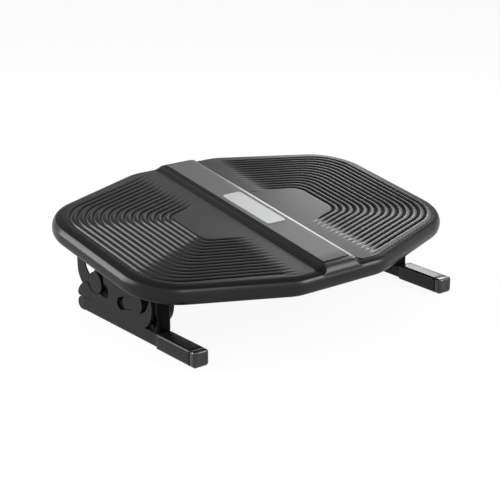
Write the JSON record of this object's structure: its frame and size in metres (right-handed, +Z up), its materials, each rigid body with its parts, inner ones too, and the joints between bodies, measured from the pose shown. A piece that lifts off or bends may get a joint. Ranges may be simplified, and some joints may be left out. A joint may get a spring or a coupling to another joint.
{
  "type": "tilting footrest",
  "caption": "Low footrest with a wide ribbed deck that tilts on a bolt in each side leg and falls back on rubber rear stops.",
  "frame": {"origin": "on the floor, under the middle of the deck", "axes": "+X right, -Y towards the user and the low heel edge, +Z up"},
  "size_m": [0.4468, 0.3215, 0.1294],
  "materials": {
    "shell_gloss": "glossy moulded black",
    "post_gloss": "glossy moulded black",
    "pad_rubber": "matte dark grey with fine grain",
    "cover_satin": "satin dark grey",
    "plate_silver": "finely brushed silver",
    "powder_black": "satin black powder coat",
    "sleeve_soft": "smooth soft black",
    "cap_gloss": "glossy black",
    "black_rubber": "matte black",
    "moulded_black": "satin moulded black",
    "bright_steel": "zinc plated",
    "pale_nylon": "natural nylon"
  },
  "bodies": {
    "stand": {"left_foot_bar": "powder_black", "left_sleeve": "sleeve_soft", "left_front_cap": "cap_gloss", "left_rear_plug": "cap_gloss", "left_rear_foot": "black_rubber", "left_outer_cheek": "powder_black", "left_inner_cheek": "powder_black", "left_saddle": "powder_black", "left_front_post": "post_gloss", "left_post_buffer": "black_rubber", "left_heel_guard": "powder_black", "left_rear_stop": "black_rubber", "left_pivot_bolt": "bright_steel", "left_pivot_bush": "pale_nylon", "left_outer_washer": "pale_nylon", "left_inner_washer": "pale_nylon", "left_pivot_spacer": "bright_steel", "left_pivot_nut": "bright_steel", "left_pivot_cap": "moulded_black", "left_tube_flange": "powder_black", "right_foot_bar": "powder_black", "right_sleeve": "sleeve_soft", "right_front_cap": "cap_gloss", "right_rear_plug": "cap_gloss", "right_rear_foot": "black_rubber", "right_outer_cheek": "powder_black", "right_inner_cheek": "powder_black", "right_saddle": "powder_black", "right_front_post": "post_gloss", "right_post_buffer": "black_rubber", "right_heel_guard": "powder_black", "right_rear_stop": "black_rubber", "right_pivot_bolt": "bright_steel", "right_pivot_bush": "pale_nylon", "right_outer_washer": "pale_nylon", "right_inner_washer": "pale_nylon", "right_pivot_spacer": "bright_steel", "right_pivot_nut": "bright_steel", "right_pivot_cap": "moulded_black", "right_tube_flange": "powder_black", "joining_tube": "powder_black"},
    "deck": {"deck_shell": "shell_gloss", "deck_tray": "moulded_black", "centre_cover": "cover_satin", "plain_plate": "plate_silver", "left_pad": "pad_rubber", "left_hanger_flange": "powder_black", "left_outer_lug": "powder_black", "left_inner_lug": "powder_black", "left_rear_arm": "powder_black", "left_arm_boss": "moulded_black", "right_pad": "pad_rubber", "right_hanger_flange": "powder_black", "right_outer_lug": "powder_black", "right_inner_lug": "powder_black", "right_rear_arm": "powder_black", "right_arm_boss": "moulded_black"},
    "left_lock": {"left_lock_slider": "moulded_black"},
    "right_lock": {"right_lock_slider": "moulded_black"}
  },
  "joints": [
    {"name": "deck_tilt", "type": "hinge", "parent": "stand", "child": "deck", "pos_m": [0, -0.0338, 0.0409], "axis": [1, 0, 0], "range_deg": [0, 12]},
    {"name": "left_lock_slide", "type": "slide", "parent": "stand", "child": "left_lock", "axis": [0, 0.9578, -0.2874], "range_m": [0, 0.009]},
    {"name": "right_lock_slide", "type": "slide", "parent": "stand", "child": "right_lock", "axis": [0, 0.9578, -0.2874], "range_m": [0, 0.009]}
  ]
}
